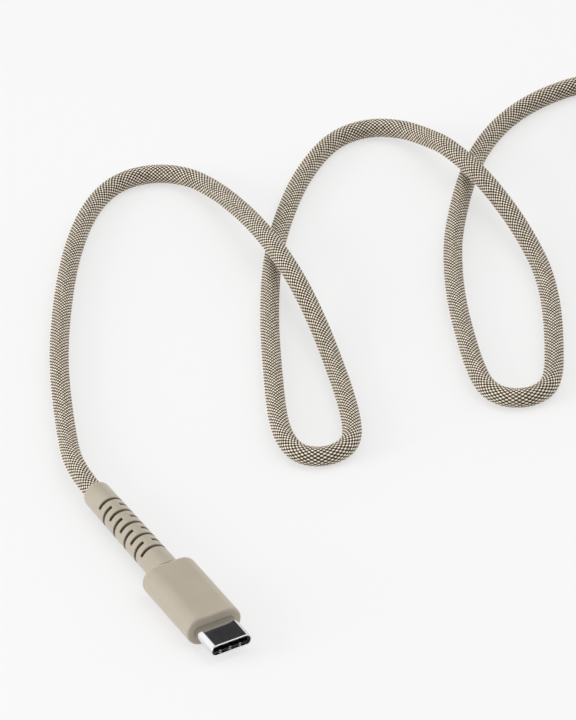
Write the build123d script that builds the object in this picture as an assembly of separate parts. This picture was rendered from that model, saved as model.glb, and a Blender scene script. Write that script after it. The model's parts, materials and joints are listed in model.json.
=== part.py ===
from build123d import *
import math
import os

# A braided USB-C charging cable, in millimetres. The first plug lies flat on the surface
# z = 0 along X, nose towards +X, with the origin under the middle of the plug. Its cord
# leaves towards -X, lies in two long loops, and ends in a tied coil with the second plug.

# Cord
CORD_DIAMETER = 3.8
CORD_RADIUS = CORD_DIAMETER / 2
JACKET_RADIUS = 1.5
JACKET_WALL = 0.18
SHIELD_RADIUS = 1.29
SHIELD_WALL = 0.17

# Moulded plug body and strain relief
BODY_WIDTH = 11.0
BODY_HEIGHT = 6.0
BODY_LENGTH = 19.4
BODY_FRONT_EDGE = 0.6
BODY_BACK_EDGE = 1.2
BODY_BACK_WALL = 0.9
BODY_FRONT_WALL = 1.0
RELIEF_LENGTH = 30.0
RELIEF_FRONT_RADIUS = 2.95
RELIEF_BACK_RADIUS = 2.7
RELIEF_END_EDGE = 0.8
RELIEF_CORE_RADIUS = 1.75
SLOT_WIDTH = 0.78
SLOT_PITCH = 4.46
FIRST_SLOT = 5.35
TOP_SLOTS = 5
TOP_SLOT_SWEEP = 124.0
SIDE_SLOT_SWEEP = 146.0

# USB-C nose
SHELL_WIDTH = 8.25
SHELL_HEIGHT = 2.40
SHELL_WALL = 0.25
SHELL_REACH = 6.65
SHELL_LENGTH = 13.0
SHELL_RIM = 0.1
INSULATOR_SETBACK = 0.4
INSULATOR_LENGTH = 7.2
INSULATOR_BACK_WALL = 1.0
TONGUE_WIDTH = 6.85
TONGUE_HEIGHT = 0.90
TONGUE_CORNER = 0.1
CARRIER_LENGTH = 3.2
CARRIER_SPLIT = 0.1

# Contacts, and the grooves and holes that they run in. Heights are from the plug's axis.
CONTACTS_PER_ROW = 12
CONTACT_PITCH = 0.5
CONTACT_WIDTH = 0.22
CONTACT_THICKNESS = 0.12
CONTACT_TAIL_HEIGHT = 0.40
CONTACT_BEAM_HEIGHT = 0.58
CONTACT_BUMP_HEIGHT = 0.36
CONTACT_TIP_HEIGHT = 0.50
GROOVE_WIDTH = 0.3
GROOVE_HEIGHTS = (0.4, 0.7)
GROOVE_LIP = 0.7
CONTACT_HOLE_WIDTH = 0.26
CONTACT_HOLE_HEIGHTS = (0.5, 0.66)

# Ground springs above and below the nose piece, and the windows that they lie in
SPRING_WIDTH = 6.0
SPRING_LENGTH = 4.3
SPRING_SETBACK = 0.3
SPRING_HEIGHTS = (0.8, 0.88)
SPRING_WINDOW_BOTTOM = 0.78
GROUND_FINGERS = 3
GROUND_FINGER_PITCH = 2.0
FINGER_WIDTH = 0.46
FINGER_LENGTH = 0.35
FINGER_HEIGHTS = (0.6, 0.86)
FINGER_WINDOW_BOTTOM = 0.4
FINGER_WINDOW_WIDTH = 0.66
FINGER_WINDOW_LENGTH = 0.72

# Latch arms, one each side of the tongue space. Sideways distances are from the plug's axis.
LATCH_THICKNESS = 0.16
LATCH_PLATE_HALF_WIDTH = 3.6
LATCH_ARM_SIDES = (3.5, 3.65)
LATCH_HOOK_SIDES = (3.25, 3.65)
LATCH_HOOK_LENGTH = 0.5
LATCH_HEIGHT = 0.6
LATCH_SETBACK = 1.2
LATCH_SPACE_SIDES = (3.4, 4.0)
LATCH_SPACE_HEIGHT = 0.72
LATCH_SPACE_SETBACK = 0.9

# Inside the body
BOARD_WIDTH = 7.2
BOARD_THICKNESS = 0.6
CHIP_SIZE = (2.2, 2.2, 0.55)
CHIP_PLACE = (-4.6, 0.8)
CAPACITOR_SIZE = (1.0, 0.5, 0.45)
UPPER_CAPACITORS = [(-7.2, 2.2), (-7.2, 0.9), (-4.6, -1.6), (-4.6, -2.8)]
LOWER_CAPACITORS = [(-5.0, -1.2), (-5.0, 1.2)]
PAD_WIDTH = 0.9
PAD_LENGTH = 1.6
PAD_THICKNESS = 0.12
CAN_WIDTH = 8.2
CAN_HEIGHT = 3.3
CAN_CORNER = 1.2
CAN_WALL = 0.2
CAN_SPLIT = 0.01
MOULD_WIDTH = 9.2
MOULD_HEIGHT = 4.3
MOULD_CORNER = 2.0
FERRULE_CLEARANCE = 0.03
FERRULE_WALL = 0.25
GAP = 0.05

# How far a cutter runs past what it cuts
PAST = 1.0

# Stations along the plug
PLUG_LENGTH = SHELL_REACH + BODY_LENGTH + RELIEF_LENGTH
NOSE_X = PLUG_LENGTH / 2
FACE_X = NOSE_X - SHELL_REACH
BACK_X = FACE_X - BODY_LENGTH
EXIT_X = -PLUG_LENGTH / 2
SHELL_BACK_X = NOSE_X - SHELL_LENGTH
INSULATOR_FRONT_X = NOSE_X - INSULATOR_SETBACK
INSULATOR_BACK_X = INSULATOR_FRONT_X - INSULATOR_LENGTH
SPRING_BACK_X = INSULATOR_FRONT_X - SPRING_SETBACK - SPRING_LENGTH
CARRIER_FRONT_X = INSULATOR_BACK_X - 0.1
CARRIER_BACK_X = CARRIER_FRONT_X - CARRIER_LENGTH
BOARD_FRONT_X = CARRIER_BACK_X - 0.2
BOARD_BACK_X = BACK_X + 4.0
CAN_BACK_X = BACK_X + 3.1
CAN_FRONT_X = SHELL_BACK_X - 0.1
MOULD_BACK_X = BACK_X + BODY_BACK_WALL + GAP
MOULD_FRONT_X = FACE_X - BODY_FRONT_WALL - GAP
JACKET_FRONT_X = BACK_X + 1.45
SHIELD_FRONT_X = BACK_X + 2.45
PAD_BACK_X = BOARD_BACK_X + 0.2
WIRE_END_X = PAD_BACK_X + PAD_LENGTH - 0.1
PLUG_AXIS_Z = BODY_HEIGHT / 2

# Heights of the cord's centre line: in the coil's lower and upper turns, on the surface, and
# where it passes over itself
COIL_LIFT = 0.7
COIL_STEP = CORD_DIAMETER + 0.1
COIL_LOWER_TURN = COIL_LIFT + CORD_RADIUS
COIL_UPPER_TURN = COIL_LOWER_TURN + COIL_STEP
FLOOR = CORD_RADIUS
OVER = FLOOR + CORD_DIAMETER + 0.75

# The route of the cord: x, y and height of its centre line
CORD_ROUTE = [
    (EXIT_X, 0, PLUG_AXIS_Z),
    (-37, 0, PLUG_AXIS_Z),
    (-50, 4.3, FLOOR),
    (-74, 14, FLOOR),
    (-98, 27.3, FLOOR),
    (-112, 37, FLOOR),
    (-120.5, 45, FLOOR),
    (-124.6, 52.5, FLOOR),
    (-123.5, 59.8, FLOOR),
    (-117.8, 64.8, 2.3),
    (-109, 66.3, 3.4),
    (-99, 66.2, 5),
    (-87, 65.5, OVER),
    (-71, 64, OVER),
    (-57, 62, 3.6),
    (-44, 58.8, FLOOR),
    (-33, 55.5, FLOOR),
    (-25.3, 52.8, FLOOR),
    (-19.2, 50, FLOOR),
    (-16.5, 46.9, FLOOR),
    (-16.1, 43, FLOOR),
    (-18.1, 39.7, FLOOR),
    (-21.8, 38.3, FLOOR),
    (-29.6, 39.6, FLOOR),
    (-42.6, 45.2, FLOOR),
    (-64.2, 55.3, FLOOR),
    (-84.3, 66.6, FLOOR),
    (-101, 79.8, FLOOR),
    (-109.8, 89.3, FLOOR),
    (-114.6, 97.2, FLOOR),
    (-114.4, 104.6, FLOOR),
    (-109.3, 109.6, 2.4),
    (-101.5, 111.1, 4),
    (-92.5, 111.3, OVER),
    (-79, 111.6, OVER),
    (-66, 111.2, 4.4),
    (-55, 109.8, 2.4),
    (-45.5, 107.1, FLOOR),
    (-34.5, 102.3, FLOOR),
    (-23.5, 96.4, FLOOR),
    (-16.4, 92.2, FLOOR),
    (-12.7, 88.6, FLOOR),
    (-12.2, 84, FLOOR),
    (-15, 80.2, FLOOR),
    (-19.8, 79.1, FLOOR),
    (-26.6, 80.7, FLOOR),
    (-35.8, 83.8, FLOOR),
    (-48.2, 88.5, FLOOR),
    (-60.2, 94.2, FLOOR),
    (-71.8, 100.8, FLOOR),
    (-90.3, 114.8, FLOOR),
    (-101.2, 128, FLOOR),
    (-105.5, 142, FLOOR),
    (-103.5, 156, FLOOR),
    (-98.5, 169, FLOOR),
    (-90, 181, FLOOR),
    (-80, 185, COIL_LOWER_TURN),
]

# The tied coil, and the short length from it to the second plug
COIL_CENTRE = (-75, 164)
COIL_MIDDLE_RADIUS = 19.5
COIL_SECTION = 2 * CORD_DIAMETER + 0.15
COIL_CORNER = 1.8
TIE_WIDTH_DEGREES = 16
TIE_ANGLE = 215
TIE_WALL = 0.6
TAIL_HEADING = -30
TAIL_ROUTE = [
    (-65, 183, COIL_UPPER_TURN),
    (-56, 177.8, COIL_UPPER_TURN),
    (-46, 172, PLUG_AXIS_Z),
    (-37, 166.8, PLUG_AXIS_Z),
]


# ---- helpers, in the plug's own frame: nose towards +X, axis at y = 0, z = 0 ----


def across(x):
    """The plane across the plug at x, with Y to its right and Z up."""
    return Plane(origin=(x, 0, 0), x_dir=(0, 1, 0), z_dir=(1, 0, 0))


def bar(outline, start, end):
    """An outline carried along X from start to end."""
    return extrude(across(start) * outline, amount=end - start)


def block(x_range, y_range, z_range):
    """A box between three pairs of limits, each given in either order."""
    centre = [(low + high) / 2 for low, high in (x_range, y_range, z_range)]
    size = [abs(high - low) for low, high in (x_range, y_range, z_range)]
    return Pos(*centre) * Box(*size)


def around(middle, width):
    """The limits of a width centred on middle."""
    return middle - width / 2, middle + width / 2


def mirrored(limits, side):
    """Limits measured from the axis, on its positive or negative side."""
    return tuple(side * limit for limit in limits)


def pipe(outer, wall, start, end):
    """A round tube along X."""
    return bar(Circle(outer) - Circle(outer - wall), start, end)


def swept(points, radius, radii):
    """A round bar along straight runs joined by tangent arcs, and the length of its middle line."""
    path = FilletPolyline(*points, radius=radii)
    section = Plane(origin=path @ 0, z_dir=path % 0) * Circle(radius)
    return sweep(section, path=path), path.length


# ---- metal shell and what it holds ----


def plug_shell():
    outer = SlotOverall(SHELL_WIDTH, SHELL_HEIGHT)
    inner = SlotOverall(SHELL_WIDTH - 2 * SHELL_WALL, SHELL_HEIGHT - 2 * SHELL_WALL)
    tube = bar(outer - inner, SHELL_BACK_X, NOSE_X)
    rim = tube.faces().sort_by(Axis.X)[-1].edges()
    return fillet(rim, SHELL_RIM)


def contact_rows():
    """The Y of each contact in a full row."""
    first = -(CONTACTS_PER_ROW - 1) / 2 * CONTACT_PITCH
    return [first + i * CONTACT_PITCH for i in range(CONTACTS_PER_ROW)]


def finger_rows():
    """The Y of each ground spring finger."""
    return [(i - (GROUND_FINGERS - 1) / 2) * GROUND_FINGER_PITCH for i in range(GROUND_FINGERS)]


def inside_shell():
    """The outline that fits inside the shell with a small gap."""
    inset = 2 * (SHELL_WALL + GAP)
    return SlotOverall(SHELL_WIDTH - inset, SHELL_HEIGHT - inset)


def front_insulator():
    """The black nose piece, with the tongue space, contact grooves and windows for the springs."""
    body = bar(inside_shell(), INSULATOR_BACK_X, INSULATOR_FRONT_X)
    tongue = RectangleRounded(TONGUE_WIDTH, TONGUE_HEIGHT, TONGUE_CORNER)
    body -= bar(tongue, INSULATOR_BACK_X + INSULATOR_BACK_WALL, NOSE_X)
    behind = INSULATOR_BACK_X - PAST
    groove_x = (behind, INSULATOR_FRONT_X - GROOVE_LIP)
    spring_x = (SPRING_BACK_X - 2 * GAP, NOSE_X)
    finger_x = (INSULATOR_FRONT_X - FINGER_WINDOW_LENGTH, NOSE_X)
    latch_x = (behind, INSULATOR_FRONT_X - LATCH_SPACE_SETBACK)
    for side in (1, -1):
        for y in contact_rows():
            body -= block(groove_x, around(y, GROOVE_WIDTH), mirrored(GROOVE_HEIGHTS, side))
        window = mirrored((SPRING_WINDOW_BOTTOM, SHELL_HEIGHT), side)
        body -= block(spring_x, around(0, SPRING_WIDTH + 2 * GAP), window)
        window = mirrored((FINGER_WINDOW_BOTTOM, SHELL_HEIGHT), side)
        for y in finger_rows():
            body -= block(finger_x, around(y, FINGER_WINDOW_WIDTH), window)
        body -= block(latch_x, mirrored(LATCH_SPACE_SIDES, side), around(0, LATCH_SPACE_HEIGHT))
    return body


def contact(y, side):
    """One spring contact: solder tail, straight beam, and the bump that meets the tongue."""
    line = [
        (CARRIER_BACK_X - 1.6, CONTACT_TAIL_HEIGHT),
        (CARRIER_BACK_X - 0.8, CONTACT_TAIL_HEIGHT),
        (CARRIER_BACK_X - 0.2, CONTACT_BEAM_HEIGHT),
        (INSULATOR_FRONT_X - 2.7, CONTACT_BEAM_HEIGHT),
        (INSULATOR_FRONT_X - 1.9, CONTACT_BUMP_HEIGHT),
        (INSULATOR_FRONT_X - 1.2, CONTACT_TIP_HEIGHT),
    ]
    half = CONTACT_THICKNESS / 2
    outline = [(x, side * (z + half)) for x, z in line] + [(x, side * (z - half)) for x, z in reversed(line)]
    profile = Plane.XZ * make_face(Polyline(*outline, close=True))
    return Pos(0, y, 0) * extrude(profile, amount=CONTACT_WIDTH / 2, both=True)


def upper_contacts():
    return Part() + [contact(y, 1) for y in contact_rows()]


def lower_contacts():
    """The lower row leaves out the two middle places, as a charging plug does."""
    return Part() + [contact(y, -1) for y in contact_rows() if abs(y) > CONTACT_PITCH]


def contact_carrier(side):
    """The block that grips one row of contacts behind the nose piece."""
    body = bar(inside_shell(), CARRIER_BACK_X, CARRIER_FRONT_X)
    half = mirrored((CARRIER_SPLIT, SHELL_HEIGHT), side)
    body &= block((CARRIER_BACK_X, CARRIER_FRONT_X), around(0, SHELL_WIDTH), half)
    hole_x = (CARRIER_BACK_X - PAST, CARRIER_FRONT_X + PAST)
    for y in contact_rows():
        body -= block(hole_x, around(y, CONTACT_HOLE_WIDTH), mirrored(CONTACT_HOLE_HEIGHTS, side))
    return body


def latch_springs():
    """One stamped plate between the carriers, with a latch arm along each side of the tongue space."""
    thin = around(0, LATCH_THICKNESS)
    tall = around(0, LATCH_HEIGHT)
    plate = block((CARRIER_BACK_X, CARRIER_FRONT_X), around(0, 2 * LATCH_PLATE_HALF_WIDTH), thin)
    bridge_x = (CARRIER_FRONT_X - 0.4, INSULATOR_BACK_X + 0.3)
    bridge_sides = (LATCH_ARM_SIDES[0], LATCH_PLATE_HALF_WIDTH)
    tip = INSULATOR_FRONT_X - LATCH_SETBACK
    for side in (1, -1):
        plate += block(bridge_x, mirrored(bridge_sides, side), thin)
        plate += block((INSULATOR_BACK_X + GAP, tip), mirrored(LATCH_ARM_SIDES, side), tall)
        plate += block((tip - LATCH_HOOK_LENGTH, tip), mirrored(LATCH_HOOK_SIDES, side), tall)
    return plate


def ground_spring(side):
    """The thin spring above or below the nose piece, with fingers bent into the mouth."""
    front = SPRING_BACK_X + SPRING_LENGTH
    spring = block((SPRING_BACK_X, front), around(0, SPRING_WIDTH), mirrored(SPRING_HEIGHTS, side))
    for y in finger_rows():
        finger_x = (front - FINGER_LENGTH, front)
        spring += block(finger_x, around(y, FINGER_WIDTH), mirrored(FINGER_HEIGHTS, side))
    return spring


# ---- circuit board and its parts ----


def circuit_board():
    board_x = (BOARD_BACK_X, BOARD_FRONT_X)
    return block(board_x, around(0, BOARD_WIDTH), around(0, BOARD_THICKNESS))


def on_board(place, size, side):
    """A small part that stands on the board, above or below it. place is from the board's front edge."""
    x, y = place
    return Pos(BOARD_FRONT_X + x, y, side * (BOARD_THICKNESS + size[2]) / 2) * Box(*size)


def marker_chip():
    return on_board(CHIP_PLACE, CHIP_SIZE, 1)


def board_capacitors():
    """Small parts beside the chip and under the board."""
    parts = [on_board(place, CAPACITOR_SIZE, 1) for place in UPPER_CAPACITORS]
    parts += [on_board(place, CAPACITOR_SIZE, -1) for place in LOWER_CAPACITORS]
    return Part() + parts


# Each wire: its radius, its place inside the jacket (y, z), and its place on its solder pad (y, z).
PAD_TOP = BOARD_THICKNESS / 2 + PAD_THICKNESS
POWER_RADIUS = 0.42
DATA_RADIUS = 0.28
SENSE_RADIUS = 0.2
WIRES = {
    "power_wire": [(POWER_RADIUS, (-0.5, 0.35), (-1.5, PAD_TOP + POWER_RADIUS))],
    "ground_wire": [(POWER_RADIUS, (0.5, 0.35), (1.5, PAD_TOP + POWER_RADIUS))],
    "data_wires": [
        (DATA_RADIUS, (-0.35, -0.55), (-1.6, -PAD_TOP - DATA_RADIUS)),
        (DATA_RADIUS, (0.35, -0.55), (1.6, -PAD_TOP - DATA_RADIUS)),
    ],
    "sense_wire": [(SENSE_RADIUS, (0, -0.1), (0, -PAD_TOP - SENSE_RADIUS))],
}
WIRE_BEND = 1.2


def wires(name):
    """Wires that run straight in the jacket and spread to their pads on the board."""
    made = []
    for radius, (y0, z0), (y1, z1) in WIRES[name]:
        points = [
            (EXIT_X + PAST, y0, z0),
            (SHIELD_FRONT_X + 0.1, y0, z0),
            (BOARD_BACK_X + 0.1, y1, z1),
            (WIRE_END_X, y1, z1),
        ]
        made.append(swept(points, radius, [WIRE_BEND, WIRE_BEND])[0])
    return Part() + made


def solder_pads():
    pads = []
    pad_x = (PAD_BACK_X, PAD_BACK_X + PAD_LENGTH)
    for ends in WIRES.values():
        for _, _, (y, z) in ends:
            pad_z = mirrored((BOARD_THICKNESS / 2, PAD_TOP), math.copysign(1, z))
            pads.append(block(pad_x, around(y, PAD_WIDTH), pad_z))
    return Part() + pads


# ---- shield, inner mould, body and strain relief ----


def shield_can(side):
    """One half of the folded metal box round the board, with half a hole for the cable."""
    outer = RectangleRounded(CAN_WIDTH, CAN_HEIGHT, CAN_CORNER)
    inner = RectangleRounded(CAN_WIDTH - 2 * CAN_WALL, CAN_HEIGHT - 2 * CAN_WALL, CAN_CORNER - CAN_WALL)
    can = bar(outer, CAN_BACK_X, CAN_FRONT_X) - bar(inner, CAN_BACK_X + CAN_WALL, CAN_FRONT_X + PAST)
    can -= bar(Circle(JACKET_RADIUS + GAP), CAN_BACK_X - PAST, CAN_BACK_X + PAST)
    half = mirrored((CAN_SPLIT, CAN_HEIGHT), side)
    return can & block((CAN_BACK_X, CAN_FRONT_X), around(0, BODY_WIDTH), half)


def crimp_ferrule():
    outer = JACKET_RADIUS + FERRULE_CLEARANCE + FERRULE_WALL
    return pipe(outer, FERRULE_WALL, MOULD_BACK_X + GAP, CAN_BACK_X - GAP)


def inner_mould():
    """The stiff block moulded round the can, the ferrule and the back of the shell."""
    body = bar(RectangleRounded(MOULD_WIDTH, MOULD_HEIGHT, MOULD_CORNER), MOULD_BACK_X, MOULD_FRONT_X)
    slack = 2 * GAP
    can_space = RectangleRounded(CAN_WIDTH + slack, CAN_HEIGHT + slack, CAN_CORNER + GAP)
    body -= bar(can_space, CAN_BACK_X - GAP, CAN_FRONT_X + GAP)
    shell_space = SlotOverall(SHELL_WIDTH + slack, SHELL_HEIGHT + slack)
    body -= bar(shell_space, CAN_FRONT_X, MOULD_FRONT_X + PAST)
    ferrule_space = JACKET_RADIUS + FERRULE_CLEARANCE + FERRULE_WALL + GAP
    body -= bar(Circle(ferrule_space), MOULD_BACK_X - PAST, CAN_BACK_X)
    return body


def body_outside():
    """The outside of the moulded body: a slot outline with rounded ends."""
    body = bar(SlotOverall(BODY_WIDTH, BODY_HEIGHT), BACK_X, FACE_X)
    faces = body.faces().sort_by(Axis.X)
    front = faces[-1].edges()
    body = fillet(front, BODY_FRONT_EDGE)
    back = body.faces().sort_by(Axis.X)[0].edges()
    return fillet(back, BODY_BACK_EDGE)


def body_cover():
    """The soft outer body: open at the front for the shell and at the back for the cable."""
    body = body_outside()
    slack = 2 * GAP
    space = RectangleRounded(MOULD_WIDTH + slack, MOULD_HEIGHT + slack, MOULD_CORNER + GAP)
    body -= bar(space, MOULD_BACK_X - GAP, MOULD_FRONT_X + GAP)
    body -= bar(SlotOverall(SHELL_WIDTH + GAP, SHELL_HEIGHT + GAP), MOULD_FRONT_X, NOSE_X)
    body -= bar(Circle(JACKET_RADIUS + GAP), BACK_X - PAST, MOULD_BACK_X + PAST)
    return body


def slot_cutter(x, middle, sweep_degrees):
    """A cutter for one flex slot: part of a ring across the axis, middle measured from the top."""
    depth = RELIEF_FRONT_RADIUS + PAST - RELIEF_CORE_RADIUS
    section = Plane.XZ * Pos(x, RELIEF_CORE_RADIUS + depth / 2) * Rectangle(SLOT_WIDTH, depth)
    ring = revolve(section, axis=Axis.X, revolution_arc=sweep_degrees)
    return Rot(middle - sweep_degrees / 2, 0, 0) * ring


def strain_relief():
    """The tapered sleeve, with slots above and below that alternate with slots at the sides."""
    front = BACK_X + BODY_BACK_EDGE
    length = front - EXIT_X
    body = Plane(origin=(EXIT_X, 0, 0), z_dir=(1, 0, 0)) * Cone(
        RELIEF_BACK_RADIUS, RELIEF_FRONT_RADIUS, length, align=(Align.CENTER, Align.CENTER, Align.MIN)
    )
    body = fillet(body.faces().sort_by(Axis.X)[0].edges(), RELIEF_END_EDGE)
    body -= bar(Circle(JACKET_RADIUS + GAP), EXIT_X - PAST, front + PAST)
    body -= body_outside()
    for i in range(TOP_SLOTS):
        x = BACK_X - FIRST_SLOT - i * SLOT_PITCH
        for middle in (0, 180):
            body -= slot_cutter(x, middle, TOP_SLOT_SWEEP)
        if i < TOP_SLOTS - 1:
            for middle in (90, 270):
                body -= slot_cutter(x - SLOT_PITCH / 2, middle, SIDE_SLOT_SWEEP)
    return body


def cable_jacket():
    return pipe(JACKET_RADIUS, JACKET_WALL, EXIT_X, JACKET_FRONT_X)


def cable_shield():
    return pipe(SHIELD_RADIUS, SHIELD_WALL, EXIT_X, SHIELD_FRONT_X)


def plug_pieces():
    """Every piece of one plug, by name, in the plug's own frame."""
    pieces = {
        "plug_shell": plug_shell(),
        "front_insulator": front_insulator(),
        "upper_contacts": upper_contacts(),
        "lower_contacts": lower_contacts(),
        "upper_contact_carrier": contact_carrier(1),
        "lower_contact_carrier": contact_carrier(-1),
        "latch_springs": latch_springs(),
        "upper_ground_spring": ground_spring(1),
        "lower_ground_spring": ground_spring(-1),
        "circuit_board": circuit_board(),
        "marker_chip": marker_chip(),
        "board_capacitors": board_capacitors(),
        "solder_pads": solder_pads(),
        "upper_shield_can": shield_can(1),
        "lower_shield_can": shield_can(-1),
        "crimp_ferrule": crimp_ferrule(),
        "inner_mould": inner_mould(),
        "body_cover": body_cover(),
        "strain_relief": strain_relief(),
        "cable_jacket": cable_jacket(),
        "cable_shield": cable_shield(),
    }
    for name in WIRES:
        pieces[name] = wires(name)
    return pieces


# On the second plug each of these pairs shares one node.
FAR_PAIRS = {
    "contacts": ("upper_contacts", "lower_contacts"),
    "contact_carriers": ("upper_contact_carrier", "lower_contact_carrier"),
    "ground_springs": ("upper_ground_spring", "lower_ground_spring"),
    "shield_can": ("upper_shield_can", "lower_shield_can"),
}


def far_plug_pieces(pieces):
    """The second plug, the same as the first, at the end of the tail."""
    heading = math.radians(TAIL_HEADING)
    x, y, _ = TAIL_ROUTE[-1]
    middle = (x - EXIT_X * math.cos(heading), y - EXIT_X * math.sin(heading), PLUG_AXIS_Z)
    place = Pos(*middle) * Rot(0, 0, TAIL_HEADING)
    far = dict(pieces)
    for joined, (upper, lower) in FAR_PAIRS.items():
        far[joined] = Part() + [far.pop(upper), far.pop(lower)]
    return {"far_" + name: place * piece for name, piece in far.items()}


# ---- cord, coil and tie ----


def bend_radii(points):
    """The largest arc at each corner: 0.45 of the shorter run over the tangent of half the turn."""
    radii = []
    for before, corner, after in zip(points, points[1:], points[2:]):
        run_in = Vector(*corner) - Vector(*before)
        run_out = Vector(*after) - Vector(*corner)
        half_turn = math.radians(run_in.get_angle(run_out)) / 2
        radii.append(0.45 * min(run_in.length, run_out.length) / math.tan(half_turn))
    return radii


def cord_tube(name, points):
    """The plain tube along one stretch of cord; prints its radii and its volume against its length."""
    radii = bend_radii(points)
    tube, length = swept(points, CORD_RADIUS, radii)
    print(name, "radii", [round(radius, 1) for radius in radii])
    expected = math.pi * CORD_RADIUS**2 * length
    print(name, "length", round(length, 1), "volume", round(tube.volume, 1), "expected", round(expected, 1))
    return tube


def coil_section(size, corner):
    """The square section of the coil in the plane through its axis, with rounded corners."""
    middle_z = COIL_LIFT + COIL_SECTION / 2
    return Plane.XZ * Pos(COIL_MIDDLE_RADIUS, middle_z) * RectangleRounded(size, size, corner)


def cord_coil():
    """The outer shape of the wound cord."""
    ring = revolve(coil_section(COIL_SECTION, COIL_CORNER), axis=Axis.Z)
    return Pos(*COIL_CENTRE, 0) * ring


def cord_tie():
    """A short strap round the bundle of turns."""
    inside = COIL_SECTION + 2 * GAP
    outer = coil_section(inside + 2 * TIE_WALL, COIL_CORNER + TIE_WALL)
    strap = revolve(outer - coil_section(inside, COIL_CORNER), axis=Axis.Z, revolution_arc=TIE_WIDTH_DEGREES)
    return Pos(*COIL_CENTRE, 0) * Rot(0, 0, TIE_ANGLE) * strap


def main():
    os.makedirs("parts", exist_ok=True)
    pieces = plug_pieces()
    nodes = {name: Pos(0, 0, PLUG_AXIS_Z) * piece for name, piece in pieces.items()}
    nodes.update(far_plug_pieces(pieces))
    nodes["cord"] = cord_tube("cord", CORD_ROUTE)
    nodes["cord_tail"] = cord_tube("cord_tail", TAIL_ROUTE)
    nodes["cord_coil"] = cord_coil()
    nodes["cord_tie"] = cord_tie()
    for name, piece in nodes.items():
        export_step(piece, "parts/" + name + ".step")


main()
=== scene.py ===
import bpy
import json
import math
import numpy as np
from mathutils import Matrix, Vector


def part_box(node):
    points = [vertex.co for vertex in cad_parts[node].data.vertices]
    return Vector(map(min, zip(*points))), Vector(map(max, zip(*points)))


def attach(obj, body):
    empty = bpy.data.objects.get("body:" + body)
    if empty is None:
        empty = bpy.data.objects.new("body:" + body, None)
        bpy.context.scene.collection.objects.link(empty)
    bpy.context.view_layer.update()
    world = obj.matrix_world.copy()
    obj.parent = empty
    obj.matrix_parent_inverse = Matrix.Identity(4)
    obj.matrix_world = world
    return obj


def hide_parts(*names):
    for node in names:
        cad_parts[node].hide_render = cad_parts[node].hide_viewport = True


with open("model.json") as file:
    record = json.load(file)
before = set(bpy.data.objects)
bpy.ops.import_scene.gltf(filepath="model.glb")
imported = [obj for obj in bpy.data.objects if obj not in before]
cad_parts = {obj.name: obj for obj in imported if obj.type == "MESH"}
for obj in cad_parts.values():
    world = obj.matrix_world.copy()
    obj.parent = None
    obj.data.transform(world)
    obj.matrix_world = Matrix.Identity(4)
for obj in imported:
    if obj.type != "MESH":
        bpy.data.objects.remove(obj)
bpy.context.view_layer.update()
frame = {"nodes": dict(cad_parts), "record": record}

# Camera, in metres, with its lens in millimetres
CAMERA_AT = Vector((0.81991, -0.35255, 0.65572))
CAMERA_AIM = Vector((-0.05128, 0.05271, 0.0))
CAMERA_ROLL = math.radians(4.65)
CAMERA_LENS = 300.0

# Cord, in metres, with the heights of its middle line: low runs lie on the surface, and humps pass over
# an earlier run
CORD_DIAMETER = 0.0038
FLOOR = CORD_DIAMETER / 2
OVER = FLOOR + CORD_DIAMETER + 0.00075
PLUG_AXIS = 0.003
COIL_LIFT = 0.0007
COIL_STEP = CORD_DIAMETER + 0.0001
COIL_LOWER_TURN = COIL_LIFT + FLOOR
COIL_UPPER_TURN = COIL_LOWER_TURN + COIL_STEP

# Route from the first plug to the coil, and from the coil to the second plug
ROUTE = [
    (-0.028025, 0.0, PLUG_AXIS),
    (-0.037, 0.0, PLUG_AXIS),
    (-0.05, 0.0043, FLOOR),
    (-0.074, 0.014, FLOOR),
    (-0.098, 0.0273, FLOOR),
    (-0.112, 0.037, FLOOR),
    (-0.1205, 0.045, FLOOR),
    (-0.1246, 0.0525, FLOOR),
    (-0.1235, 0.0598, FLOOR),
    (-0.1178, 0.0648, 0.0023),
    (-0.109, 0.0663, 0.0034),
    (-0.099, 0.0662, 0.005),
    (-0.087, 0.0655, OVER),
    (-0.071, 0.064, OVER),
    (-0.057, 0.062, 0.0036),
    (-0.044, 0.0588, FLOOR),
    (-0.033, 0.0555, FLOOR),
    (-0.0253, 0.0528, FLOOR),
    (-0.0192, 0.05, FLOOR),
    (-0.0165, 0.0469, FLOOR),
    (-0.0161, 0.043, FLOOR),
    (-0.0181, 0.0397, FLOOR),
    (-0.0218, 0.0383, FLOOR),
    (-0.0296, 0.0396, FLOOR),
    (-0.0426, 0.0452, FLOOR),
    (-0.0642, 0.0553, FLOOR),
    (-0.0843, 0.0666, FLOOR),
    (-0.101, 0.0798, FLOOR),
    (-0.1098, 0.0893, FLOOR),
    (-0.1146, 0.0972, FLOOR),
    (-0.1144, 0.1046, FLOOR),
    (-0.1093, 0.1096, 0.0024),
    (-0.1015, 0.1111, 0.004),
    (-0.0925, 0.1113, OVER),
    (-0.079, 0.1116, OVER),
    (-0.066, 0.1112, 0.0044),
    (-0.055, 0.1098, 0.0024),
    (-0.0455, 0.1071, FLOOR),
    (-0.0345, 0.1023, FLOOR),
    (-0.0235, 0.0964, FLOOR),
    (-0.0164, 0.0922, FLOOR),
    (-0.0127, 0.0886, FLOOR),
    (-0.0122, 0.084, FLOOR),
    (-0.015, 0.0802, FLOOR),
    (-0.0198, 0.0791, FLOOR),
    (-0.0266, 0.0807, FLOOR),
    (-0.0358, 0.0838, FLOOR),
    (-0.0482, 0.0885, FLOOR),
    (-0.0602, 0.0942, FLOOR),
    (-0.0718, 0.1008, FLOOR),
    (-0.0903, 0.1148, FLOOR),
    (-0.1012, 0.128, FLOOR),
    (-0.1055, 0.142, FLOOR),
    (-0.1035, 0.156, FLOOR),
    (-0.0985, 0.169, FLOOR),
    (-0.09, 0.181, FLOOR),
    (-0.08, 0.185, COIL_LOWER_TURN),
]
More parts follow.
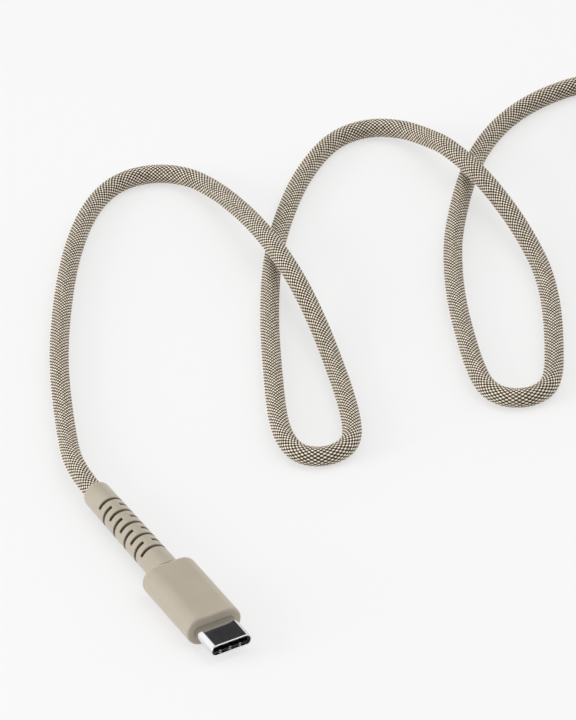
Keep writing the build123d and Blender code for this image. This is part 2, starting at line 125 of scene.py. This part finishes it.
TAIL = [
    (-0.065, 0.183, COIL_UPPER_TURN),
    (-0.056, 0.1778, COIL_UPPER_TURN),
    (-0.046, 0.172, PLUG_AXIS),
    (-0.037, 0.1668, PLUG_AXIS),
]

# Coil: it starts outside and low, moves inwards, rises a layer and moves outwards again. The places of
# these moves are counted in turns from its start.
COIL_START = math.radians(103.4)
POINTS_PER_TURN = 16
COIL_TURNS = 3
MOVE_INWARDS = 5 / 6
MOVE_UPWARDS = 5 / 3
MOVE_OUTWARDS = 5 / 2
MOVE_LENGTH = 1 / 6

# Strap round the coil's turns, in metres: a flat band on a rounded square path, with its end lapped.
# STRAP_TURNS and STRAP_LAP_START are counted in turns of the strap, and STRAP_EDGE and STRAP_SIDE are the
# flat parts' shares of its half width and half thickness.
STRAP_START = math.radians(-40)
STRAP_HALF_WIDTH = 0.0026
STRAP_HALF_THICKNESS = 0.00022
STRAP_CLEARANCE = 0.00028
STRAP_TURNS = 1.2
STRAP_LAP_START = 0.9
STRAP_LAP_RISE = 0.0005
STRAP_SQUARENESS = 0.36
STRAP_STEPS = 110
STRAP_EDGE = 0.93
STRAP_SIDE = 0.6
STRAP_YARNS_PER_STEP = 0.5

# Braid of the cord, and the finer one of the cable's shield inside the strain relief
YARNS_EACH_WAY = 16
BRAID_PITCH = 0.001
BRAID_RADIUS = 0.00186
BRAID_RELIEF = 0.00008
SAMPLES_PER_CELL = 4
SHIELD_WIRES_EACH_WAY = 24
SHIELD_WIRES_PER_METRE = 2200.0

# Strain relief: the reach of the painted shade between a slot's walls, and the radius that softens its
# edges
SLOT_REACH = 0.0016
RELIEF_EDGE = 0.0004

# Floor and light, with the directions of the two dim patches in the light
FLOOR_HALF_WIDTH = 6.0
FLOOR_GLOW = 0.6
WORLD_STRENGTH = 1.15
HIGH_BEHIND = Vector((-0.749, 0.348, 0.564))
IN_FRONT = Vector((0.85, -0.5, 0.35))


def add_camera():
    """The camera at the photograph's viewing angle, rolled a little."""
    camera = bpy.data.objects.new("camera", bpy.data.cameras.new("camera"))
    bpy.context.scene.collection.objects.link(camera)
    camera.data.lens = CAMERA_LENS
    camera.data.sensor_width = 36.0
    camera.data.clip_start = 0.05
    camera.data.clip_end = 20.0
    forward = (CAMERA_AIM - CAMERA_AT).normalized()
    level_right = forward.cross(Vector((0, 0, 1))).normalized()
    level_up = level_right.cross(forward)
    up = level_up * math.cos(CAMERA_ROLL) + level_right * math.sin(CAMERA_ROLL)
    right = forward.cross(up)
    camera.matrix_world = Matrix((right, up, -forward)).transposed().to_4x4()
    camera.location = CAMERA_AT
    bpy.context.scene.camera = camera


def smooth_step(value):
    """0 below 0, 1 above 1, and a smooth rise between them."""
    share = min(max(value, 0.0), 1.0)
    return share * share * (3 - 2 * share)


def coil_points():
    """The coil's control points: its turns lie beside and on each other, just over a diameter apart."""
    low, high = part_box("cord_coil")
    centre = (low + high) / 2
    inner = (high.x - low.x) / 2 - CORD_DIAMETER / 2 - COIL_STEP
    lower = low.z + CORD_DIAMETER / 2
    corner = 1 / math.cos(math.pi / POINTS_PER_TURN)
    points = []
    for step in range(1, COIL_TURNS * POINTS_PER_TURN + 2):
        turns = step / POINTS_PER_TURN
        inward = smooth_step((turns - MOVE_INWARDS) / MOVE_LENGTH)
        outward = smooth_step((turns - MOVE_OUTWARDS) / MOVE_LENGTH)
        radius = (inner + COIL_STEP * (1 - inward + outward)) * corner
        rise = smooth_step((turns - MOVE_UPWARDS) / MOVE_LENGTH)
        angle = COIL_START - turns * 2 * math.pi
        x = centre.x + radius * math.cos(angle)
        y = centre.y + radius * math.sin(angle)
        points.append((x, y, lower + COIL_STEP * rise))
    return points


def spline_line(points):
    """The line of an open NURBS spline with these control points."""
    curve = bpy.data.curves.new("route", "CURVE")
    curve.dimensions = "3D"
    curve.resolution_u = 24
    spline = curve.splines.new("NURBS")
    spline.points.add(len(points) - 1)
    for control, point in zip(spline.points, points):
        control.co = (*point, 1.0)
    spline.order_u = 3
    spline.use_endpoint_u = True
    holder = bpy.data.objects.new("route", curve)
    mesh = bpy.data.meshes.new_from_object(holder)
    line = np.array([vertex.co for vertex in mesh.vertices])
    bpy.data.objects.remove(holder)
    bpy.data.meshes.remove(mesh)
    return line


def even_steps(line, spacing):
    """The same line with its points about that far apart, and the distance along it of each."""
    runs = np.linalg.norm(np.diff(line, axis=0), axis=1)
    along = np.concatenate(([0.0], np.cumsum(runs)))
    steps = np.linspace(0.0, along[-1], round(along[-1] / spacing) + 1)
    points = np.column_stack([np.interp(steps, along, line[:, axis]) for axis in range(3)])
    return points, steps


def carried_normals(points):
    """Unit tangents, and normals that are carried along the line without twist."""
    tangents = np.gradient(points, axis=0)
    tangents /= np.linalg.norm(tangents, axis=1)[:, None]
    normals = np.empty_like(points)
    normal = np.array([0.0, 0.0, 1.0])
    for index, tangent in enumerate(tangents):
        normal = normal - tangent * normal.dot(tangent)
        normal /= np.linalg.norm(normal)
        normals[index] = normal
    return tangents, normals


def grid_mesh(name, rings, uv_around, uv_along, material):
    """A closed-round tube through rings of points, with a UV map named weave."""
    ring_count, around = rings.shape[:2]
    corners = np.arange(ring_count * around).reshape(ring_count, around)
    ahead = np.roll(corners, -1, axis=1)
    faces = np.stack([corners[:-1], ahead[:-1], ahead[1:], corners[1:]], axis=-1).reshape(-1, 4)
    ends = [tuple(corners[0][::-1]), tuple(corners[-1])]
    mesh = bpy.data.meshes.new(name)
    mesh.from_pydata(rings.reshape(-1, 3), [], [tuple(face) for face in faces.tolist()] + ends)
    side = np.arange(around)
    u = np.stack([side, side + 1, side + 1, side], axis=-1) / around * uv_around
    u = np.broadcast_to(u, (ring_count - 1, around, 4))
    v = np.stack([uv_along[:-1], uv_along[:-1], uv_along[1:], uv_along[1:]], axis=-1)
    v = np.broadcast_to(v[:, None, :], (ring_count - 1, around, 4))
    uv = np.zeros((len(mesh.loops), 2), np.float32)
    uv[: u.size, 0] = u.reshape(-1)
    uv[: v.size, 1] = v.reshape(-1)
    mesh.uv_layers.new(name="weave").data.foreach_set("uv", uv.reshape(-1))
    mesh.polygons.foreach_set("use_smooth", np.ones(len(mesh.polygons), bool))
    mesh.materials.append(material)
    mesh.update()
    piece = bpy.data.objects.new(name, mesh)
    bpy.context.scene.collection.objects.link(piece)
    return piece


def add_cord(material):
    """The braided cord from one plug to the other, with the relief of its weave."""
    line = spline_line(ROUTE + coil_points() + TAIL)
    points, along = even_steps(line, BRAID_PITCH / SAMPLES_PER_CELL)
    tangents, normals = carried_normals(points)
    sideways = np.cross(tangents, normals)
    around = YARNS_EACH_WAY * SAMPLES_PER_CELL
    turn = np.arange(around) * 2 * math.pi / around
    weave = np.cos(turn * YARNS_EACH_WAY)[None, :] * np.cos(along / BRAID_PITCH * 2 * math.pi)[:, None]
    radius = BRAID_RADIUS + BRAID_RELIEF * weave
    outward = normals[:, None, :] * np.cos(turn)[None, :, None]
    outward = outward + sideways[:, None, :] * np.sin(turn)[None, :, None]
    rings = points[:, None, :] + outward * radius[:, :, None]
    cord = grid_mesh("braided_cord", rings, YARNS_EACH_WAY, along / BRAID_PITCH, material)
    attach(cord, "root")
    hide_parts("cord", "cord_tail", "cord_coil")
    return cord, points, float(along[-1])


class Graph:
    """One material's node tree, with short calls that add and join its nodes."""

    def __init__(self, name):
        self.material = bpy.data.materials.new(name)
        self.material.use_nodes = True
        self.tree = self.material.node_tree
        self.shader = self.tree.nodes["Principled BSDF"]

    def add(self, kind, **settings):
        node = self.tree.nodes.new("ShaderNode" + kind)
        for setting, value in settings.items():
            setattr(node, setting, value)
        return node

    def feed(self, socket, value):
        if isinstance(value, bpy.types.NodeSocket):
            self.tree.links.new(value, socket)
        else:
            socket.default_value = value

    def math(self, operation, first, second=0.0, third=0.0):
        node = self.add("Math", operation=operation)
        for socket, value in zip(node.inputs, (first, second, third)):
            self.feed(socket, value)
        return node.outputs[0]

    def ramp(self, value, low, high, start=0.0, end=1.0):
        node = self.add("MapRange", interpolation_type="SMOOTHSTEP")
        for name, given in (
            ("Value", value),
            ("From Min", low),
            ("From Max", high),
            ("To Min", start),
            ("To Max", end),
        ):
            self.feed(node.inputs[name], given)
        return node.outputs[0]

    def blend(self, share, first, second):
        node = self.add("Mix", data_type="RGBA")
        self.feed(node.inputs[0], share)
        self.feed(node.inputs[6], first)
        self.feed(node.inputs[7], second)
        return node.outputs[2]

    def place(self, stretch=(1.0, 1.0, 1.0)):
        node = self.add("Mapping")
        self.feed(node.inputs["Vector"], self.add("TexCoord").outputs["Object"])
        self.feed(node.inputs["Scale"], stretch)
        return node.outputs[0]

    def noise(self, place, size, detail=3.0):
        node = self.add("TexNoise")
        self.feed(node.inputs["Vector"], place)
        self.feed(node.inputs["Scale"], 1.0 / size)
        self.feed(node.inputs["Detail"], detail)
        return node.outputs[0]

    def bump(self, height, depth, under=None):
        node = self.add("Bump")
        self.feed(node.inputs["Height"], height)
        self.feed(node.inputs["Distance"], depth)
        if under is not None:
            self.feed(node.inputs["Normal"], under)
        return node.outputs[0]


def rgba(colour):
    return (*colour, 1.0)


def shaded_gaps(graph, colour, painted_slot_shade):
    """The colour, with painted shade that turns it to another deep inside narrow slots."""
    openness = graph.add("AmbientOcclusion", samples=12)
    openness.inputs["Distance"].default_value = SLOT_REACH
    deep, shallow = 0.25, 0.62
    return graph.blend(graph.ramp(openness.outputs["AO"], deep, shallow), rgba(painted_slot_shade), colour)


def soft_edges(graph, radius):
    """Normals that round the edges off, as on a moulded piece."""
    node = graph.add("Bevel", samples=8)
    node.inputs["Radius"].default_value = radius
    return node.outputs[0]


def surface(
    name, dark, light, patch, grain, depth, rough,
    stretch=(1.0, 1.0, 1.0), slots=None, edge=None, **constants,
):
    """A mottled, finely grained surface between two colours.

    patch is the size of the mottling and grain the size of the grain, with depth its depth, in metres.
    rough is the range of roughness. slots, where given, is the colour of painted shade deep inside narrow
    slots.
    edge is the radius that softens the edges. The other constants are set on the shader.
    """
    graph = Graph(name)
    place = graph.place(stretch)
    mottle = graph.ramp(graph.noise(place, patch), 0.3, 0.7)
    fine = graph.noise(place, grain, 2.0)
    colour = graph.blend(mottle, rgba(dark), rgba(light))
    if slots is not None:
        colour = shaded_gaps(graph, colour, slots)
    graph.feed(graph.shader.inputs["Base Color"], colour)
    graph.feed(graph.shader.inputs["Roughness"], graph.ramp(fine, 0.25, 0.75, *rough))
    under = None if edge is None else soft_edges(graph, edge)
    graph.feed(graph.shader.inputs["Normal"], graph.bump(fine, depth, under))
    for socket, value in constants.items():
        graph.shader.inputs[socket.replace("_", " ")].default_value = value
    return graph.material


def braided_material():
    """Braid: pale yarns wound both ways round the cord, with painted shade in the gaps where they cross
    and painted highlights on their crowns.
    """
    graph = Graph("braided_sleeve")
    uv = graph.add("SeparateXYZ")
    graph.feed(uv.inputs[0], graph.add("UVMap", uv_map="weave").outputs[0])
    around, along = uv.outputs[0], uv.outputs[1]
    one_way = graph.math("ADD", around, along)
    other_way = graph.math("SUBTRACT", around, along)
    one_crown = graph.math("COSINE", graph.math("MULTIPLY", one_way, 2 * math.pi))
    other_crown = graph.math("COSINE", graph.math("MULTIPLY", other_way, 2 * math.pi))
    cell = graph.math("MULTIPLY", graph.math("ADD", one_crown, other_crown), 0.5)
    cells = graph.math("ADD", graph.math("ROUND", one_way), graph.math("ROUND", other_way))
    on_top = graph.math("FLOORED_MODULO", cells, 2.0)
    across = graph.add("Mix")
    graph.feed(across.inputs[0], on_top)
    graph.feed(across.inputs[2], one_way)
    graph.feed(across.inputs[3], other_way)
    thread = graph.math("COSINE", graph.math("MULTIPLY", across.outputs[0], 8 * math.pi))
    place = graph.place()
    speckle = graph.math("SUBTRACT", graph.noise(place, 0.0007, 1.0), 0.5)
    drift = graph.noise(place, 0.012, 2.0)
    shade = graph.math("MULTIPLY_ADD", speckle, 0.7, graph.math("MULTIPLY_ADD", thread, 0.06, cell))
    # painted shade: the darkest colour fills the gaps between yarns; painted highlight: the palest colour
    # lights their crowns
    gap_shade, yarn, crown_highlight = (0.01, 0.0055, 0.002), (0.28, 0.216, 0.137), (1.0, 0.915, 0.775)
    # a slightly darker tone, mixed in at random patches along the cord
    drift_tone = (0.24, 0.19, 0.13)
    body = graph.blend(graph.ramp(shade, -0.3, 0.14), rgba(gap_shade), rgba(yarn))
    lit = graph.blend(graph.ramp(shade, 0.16, 0.54), body, rgba(crown_highlight))
    colour = graph.blend(graph.ramp(drift, 0.35, 0.75, 0.0, 0.1), lit, rgba(drift_tone))
    height = graph.math("MULTIPLY_ADD", thread, 0.08, cell)
    graph.feed(graph.shader.inputs["Base Color"], colour)
    graph.feed(graph.shader.inputs["Roughness"], graph.ramp(cell, -0.5, 1.0, 0.85, 0.45))
    graph.feed(graph.shader.inputs["Normal"], graph.bump(height, 0.00004))
    graph.shader.inputs["Sheen Weight"].default_value = 0.6
    graph.shader.inputs["Sheen Roughness"].default_value = 0.3
    graph.shader.inputs["Sheen Tint"].default_value = (1.0, 0.94, 0.85, 1.0)
    return graph.material


def wire_braid_material():
    """Fine tinned wire wound both ways round the cable's core."""
    graph = Graph("shield_wire")
    parts = graph.add("SeparateXYZ")
    graph.feed(parts.inputs[0], graph.place())
    height = graph.math("SUBTRACT", parts.outputs[2], PLUG_AXIS)
    turn = graph.math("ARCTAN2", height, parts.outputs[1])
    around = graph.math("MULTIPLY", turn, SHIELD_WIRES_EACH_WAY / (2 * math.pi))
    along = graph.math("MULTIPLY", parts.outputs[0], SHIELD_WIRES_PER_METRE)
    one = graph.math("SINE", graph.math("MULTIPLY", graph.math("ADD", around, along), 2 * math.pi))
    other = graph.math("SINE", graph.math("MULTIPLY", graph.math("SUBTRACT", around, along), 2 * math.pi))
    weave = graph.math("MAXIMUM", one, other)
    shadow, tin = (0.24, 0.22, 0.2), (0.72, 0.7, 0.67)
    colour = graph.blend(graph.ramp(weave, 0.0, 1.0), rgba(shadow), rgba(tin))
    graph.feed(graph.shader.inputs["Base Color"], colour)
    graph.feed(graph.shader.inputs["Roughness"], graph.ramp(weave, 0.0, 1.0, 0.6, 0.3))
    graph.feed(graph.shader.inputs["Normal"], graph.bump(weave, 0.00003))
    graph.shader.inputs["Metallic"].default_value = 0.9
    return graph.material


def board_material():
    """Green solder mask over a glass-cloth board, with raised copper tracks under it."""
    graph = Graph("board_laminate")
    place = graph.place()
    tracks = graph.add("TexWave", wave_type="BANDS", bands_direction="Y")
    graph.feed(tracks.inputs["Vector"], place)
    graph.feed(tracks.inputs["Scale"], 420.0)
    graph.feed(tracks.inputs["Distortion"], 1.2)
    track = graph.ramp(tracks.outputs[1], 0.62, 0.74)
    cloth = graph.noise(place, 0.0002, 1.0)
    mask = graph.blend(track, rgba((0.012, 0.07, 0.03)), rgba((0.03, 0.16, 0.07)))
    colour = graph.blend(graph.ramp(cloth, 0.3, 0.7, 0.0, 0.3), mask, rgba((0.02, 0.09, 0.05)))
    graph.feed(graph.shader.inputs["Base Color"], colour)
    graph.feed(graph.shader.inputs["Roughness"], graph.ramp(cloth, 0.3, 0.7, 0.28, 0.4))
    graph.feed(graph.shader.inputs["Normal"], graph.bump(track, 0.00003))
    graph.shader.inputs["Coat Weight"].default_value = 0.4
    return graph.material


def strap_material():
    """Woven strap: a plain weave of coarse yarns with a soft nap."""
    graph = Graph("tie_strap")
    uv = graph.add("SeparateXYZ")
    graph.feed(uv.inputs[0], graph.add("UVMap", uv_map="weave").outputs[0])
    warp = graph.math("SINE", graph.math("MULTIPLY", uv.outputs[0], 2 * math.pi))
    weft = graph.math("SINE", graph.math("MULTIPLY", uv.outputs[1], 2 * math.pi))
    weave = graph.math("MULTIPLY", warp, weft)
    nap = graph.noise(graph.place(), 0.00015, 2.0)
    height = graph.math("MULTIPLY_ADD", nap, 0.7, weave)
    low, high = (0.05, 0.042, 0.034), (0.17, 0.15, 0.12)
    colour = graph.blend(graph.ramp(height, -0.7, 1.2), rgba(low), rgba(high))
    graph.feed(graph.shader.inputs["Base Color"], colour)
    graph.feed(graph.shader.inputs["Roughness"], graph.ramp(nap, 0.3, 0.7, 0.75, 0.95))
    graph.feed(graph.shader.inputs["Normal"], graph.bump(height, 0.00006))
    graph.shader.inputs["Sheen Weight"].default_value = 0.4
    return graph.material


def insulation(name, dark, light):
    """The smooth extruded insulation of one wire, with faint streaks along it."""
    return surface(
        name, dark, light, patch=0.002, grain=0.0003, depth=0.000004,
        rough=(0.25, 0.4), stretch=(0.15, 1.0, 1.0),
    )


def make_materials():
    """One procedural material for each of the record's material slots."""
    soft_dark, soft_light = (0.402, 0.352, 0.273), (0.422, 0.372, 0.29)
    drawn = (0.2, 1.0, 1.0)
    return {
        "bright_shell": surface(
            "bright_shell", (0.70, 0.70, 0.71), (0.80, 0.80, 0.81), patch=0.003, grain=0.0004,
            depth=0.0000006, rough=(0.08, 0.16), stretch=drawn, Metallic=1.0,
        ),
        "black_insulator": surface(
            "black_insulator", (0.008, 0.008, 0.009), (0.014, 0.014, 0.015), patch=0.0015,
            grain=0.00008, depth=0.000003, rough=(0.35, 0.5),
        ),
        "gold_contact": surface(
            "gold_contact", (0.72, 0.48, 0.17), (0.86, 0.62, 0.26), patch=0.0008, grain=0.0001,
            depth=0.000001, rough=(0.2, 0.32), stretch=(0.3, 1.0, 1.0), Metallic=1.0,
        ),
        "carrier_plastic": surface(
            "carrier_plastic", (0.018, 0.018, 0.02), (0.03, 0.03, 0.032), patch=0.002,
            grain=0.0001, depth=0.000004, rough=(0.4, 0.55),
        ),
        "spring_steel": surface(
            "spring_steel", (0.48, 0.48, 0.5), (0.62, 0.62, 0.64), patch=0.002, grain=0.0001,
            depth=0.000002, rough=(0.24, 0.38), stretch=(0.15, 1.0, 1.0), Metallic=1.0,
        ),
        "board_laminate": board_material(),
        "chip_resin": surface(
            "chip_resin", (0.012, 0.012, 0.013), (0.025, 0.025, 0.027), patch=0.0008,
            grain=0.00006, depth=0.000005, rough=(0.5, 0.65),
        ),
        "capacitor_body": surface(
            "capacitor_body", (0.24, 0.15, 0.08), (0.36, 0.25, 0.15), patch=0.0005,
            grain=0.00005, depth=0.000003, rough=(0.35, 0.5),
        ),
        "solder_metal": surface(
            "solder_metal", (0.5, 0.5, 0.51), (0.68, 0.68, 0.7), patch=0.0006, grain=0.0001,
            depth=0.000008, rough=(0.2, 0.4), Metallic=1.0,
        ),
        "can_steel": surface(
            "can_steel", (0.5, 0.5, 0.51), (0.64, 0.64, 0.65), patch=0.003, grain=0.00015,
            depth=0.000003, rough=(0.28, 0.42), stretch=drawn, Metallic=1.0,
        ),
        "ferrule_metal": surface(
            "ferrule_metal", (0.42, 0.28, 0.12), (0.56, 0.4, 0.2), patch=0.002, grain=0.00015,
            depth=0.000004, rough=(0.3, 0.45), Metallic=1.0,
        ),
        "inner_plastic": surface(
            "inner_plastic", (0.02, 0.02, 0.021), (0.03, 0.03, 0.032), patch=0.002,
            grain=0.0001, depth=0.000005, rough=(0.45, 0.6),
        ),
        "soft_body": surface(
            "soft_body", soft_dark, soft_light, patch=0.006, grain=0.0001, depth=0.0000015,
            rough=(0.34, 0.42), Sheen_Weight=0.12, Sheen_Roughness=0.5,
        ),
        "soft_relief": surface(
            "soft_relief", soft_dark, soft_light, patch=0.004, grain=0.0001, depth=0.0000015,
            # the colour of painted shade deep inside the relief's slots
            rough=(0.34, 0.42), slots=(0.11, 0.082, 0.05), edge=RELIEF_EDGE,
            Sheen_Weight=0.15, Sheen_Roughness=0.5,
        ),
        "dark_jacket": surface(
            "dark_jacket", (0.028, 0.022, 0.016), (0.05, 0.04, 0.03), patch=0.003, grain=0.0001,
            depth=0.000005, rough=(0.5, 0.7),
        ),
        "shield_wire": wire_braid_material(),
        "red_insulation": insulation("red_insulation", (0.3, 0.02, 0.015), (0.42, 0.035, 0.025)),
        "black_insulation": insulation("black_insulation", (0.01, 0.01, 0.01), (0.022, 0.022, 0.022)),
        "green_insulation": insulation("green_insulation", (0.015, 0.14, 0.03), (0.03, 0.21, 0.05)),
        "blue_insulation": insulation("blue_insulation", (0.012, 0.03, 0.2), (0.02, 0.055, 0.3)),
        "braided_sleeve": braided_material(),
        "tie_strap": strap_material(),
    }


def dress_nodes(materials):
    """Every CAD node gets the material of its slot in the record."""
    for part in frame["record"]["subparts"]:
        node = frame["nodes"][part["node"]]
        for held in node.material_slots:
            held.material = materials[part["material_slot"]]


def add_strap(material):
    """The strap round the coil: a flat band that goes once round its turns and laps over itself."""
    low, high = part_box("cord_tie")
    coil_low, coil_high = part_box("cord_coil")
    centre = (coil_low + coil_high) / 2
    middle = (low + high) / 2
    outward = Vector((middle.x - centre.x, middle.y - centre.y, 0)).normalized()
    along = Vector((-outward.y, outward.x, 0))
    ring = (coil_high.x - coil_low.x) / 2 - CORD_DIAMETER / 2 - COIL_STEP / 2
    hub = Vector((centre.x, centre.y, centre.z)) + outward * ring
    half = (coil_high.z - coil_low.z) / 2 + STRAP_CLEARANCE
    lower_edge = [(-1.0, -STRAP_SIDE), (-STRAP_EDGE, -1.0), (STRAP_EDGE, -1.0), (1.0, -STRAP_SIDE)]
    profile = lower_edge + [(-wide, -thick) for wide, thick in lower_edge]
    rings = np.empty((STRAP_STEPS + 1, len(profile), 3))
    for step in range(STRAP_STEPS + 1):
        turn = STRAP_TURNS * step / STRAP_STEPS
        angle = STRAP_START + turn * 2 * math.pi
        lapped = smooth_step((turn - STRAP_LAP_START) / (1 - STRAP_LAP_START))
        layer = half + STRAP_LAP_RISE * lapped
        x = math.copysign(abs(math.cos(angle)) ** STRAP_SQUARENESS, math.cos(angle))
        z = math.copysign(abs(math.sin(angle)) ** STRAP_SQUARENESS, math.sin(angle))
        for side, (wide, thick) in enumerate(profile):
            reach = layer + STRAP_HALF_THICKNESS * thick
            across = along * (wide * STRAP_HALF_WIDTH)
            rings[step, side] = hub + outward * (x * reach) + Vector((0, 0, z * reach)) + across
    yarns = np.arange(STRAP_STEPS + 1) * STRAP_YARNS_PER_STEP
    strap = grid_mesh("coil_strap", rings, len(profile), yarns, material)
    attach(strap, "root")
    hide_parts("cord_tie")
    return strap


def add_floor():
    """A plain pale floor that glows, so that it stays nearly white."""
    graph = Graph("floor")
    tone = graph.noise(graph.place(), 0.3, 2.0)
    darker, lighter = (0.3, 0.3, 0.3), (0.31, 0.31, 0.31)
    colour = graph.blend(graph.ramp(tone, 0.3, 0.7), rgba(darker), rgba(lighter))
    graph.feed(graph.shader.inputs["Base Color"], colour)
    graph.shader.inputs["Emission Color"].default_value = rgba((1.0, 1.0, 1.0))
    graph.shader.inputs["Emission Strength"].default_value = FLOOR_GLOW
    graph.shader.inputs["Roughness"].default_value = 0.9
    graph.shader.inputs["Specular IOR Level"].default_value = 0.1
    half = FLOOR_HALF_WIDTH
    mesh = bpy.data.meshes.new("floor")
    corners = [(-half, -half, 0), (half, -half, 0), (half, half, 0), (-half, half, 0)]
    mesh.from_pydata(corners, [], [(0, 1, 2, 3)])
    mesh.materials.append(graph.material)
    floor = bpy.data.objects.new("floor", mesh)
    bpy.context.scene.collection.objects.link(floor)


def dimmed(tree, light, towards, inner, outer, level):
    """The light, or full light where that is None, dimmed to a level round one direction.

    The dimming is whole up to inner degrees from that direction, and fades out by outer degrees.
    """
    direction = tree.nodes.new("ShaderNodeTexCoord")
    closeness = tree.nodes.new("ShaderNodeVectorMath")
    closeness.operation = "DOT_PRODUCT"
    closeness.inputs[1].default_value = towards.normalized()
    tree.links.new(direction.outputs["Generated"], closeness.inputs[0])
    fade = tree.nodes.new("ShaderNodeMapRange")
    fade.interpolation_type = "SMOOTHSTEP"
    fade.inputs["From Min"].default_value = math.cos(math.radians(outer))
    fade.inputs["From Max"].default_value = math.cos(math.radians(inner))
    fade.inputs["To Min"].default_value = 1.0
    fade.inputs["To Max"].default_value = level
    tree.links.new(closeness.outputs["Value"], fade.inputs["Value"])
    product = tree.nodes.new("ShaderNodeMath")
    product.operation = "MULTIPLY"
    product.inputs[0].default_value = 1.0
    if light is not None:
        tree.links.new(light, product.inputs[0])
    tree.links.new(fade.outputs[0], product.inputs[1])
    return product.outputs[0]


def add_world():
    """White light from all round, dimmer in front of the plug and in a patch high behind it."""
    world = bpy.data.worlds.new("studio")
    world.use_nodes = True
    tree = world.node_tree
    background = tree.nodes["Background"]
    light = dimmed(tree, None, HIGH_BEHIND, inner=12, outer=26, level=0.04)
    light = dimmed(tree, light, IN_FRONT, inner=20, outer=75, level=0.22)
    tree.links.new(light, background.inputs["Color"])
    background.inputs["Strength"].default_value = WORLD_STRENGTH
    bpy.context.scene.world = world


def add_light(name, place, aim, size, power):
    """A soft square area light, with its size in metres and its power in watts."""
    lamp = bpy.data.lights.new(name, "AREA")
    lamp.size = size
    lamp.energy = power
    light = bpy.data.objects.new(name, lamp)
    bpy.context.scene.collection.objects.link(light)
    light.location = place
    light.rotation_euler = (aim - place).to_track_quat("-Z", "Y").to_euler()


bpy.context.scene.view_settings.view_transform = "Standard"
add_camera()
add_world()
add_light("soft_top", Vector((0.3, 0.5, 1.2)), aim=Vector((-0.05, 0.05, 0)), size=0.8, power=3.0)
add_light("soft_side", Vector((-0.25, -1.0, 0.35)), aim=Vector((-0.02, 0.0, 0)), size=0.5, power=5.5)
add_floor()

materials = make_materials()
dress_nodes(materials)
cord, cord_path, cord_length = add_cord(materials["braided_sleeve"])
strap = add_strap(materials["tie_strap"])
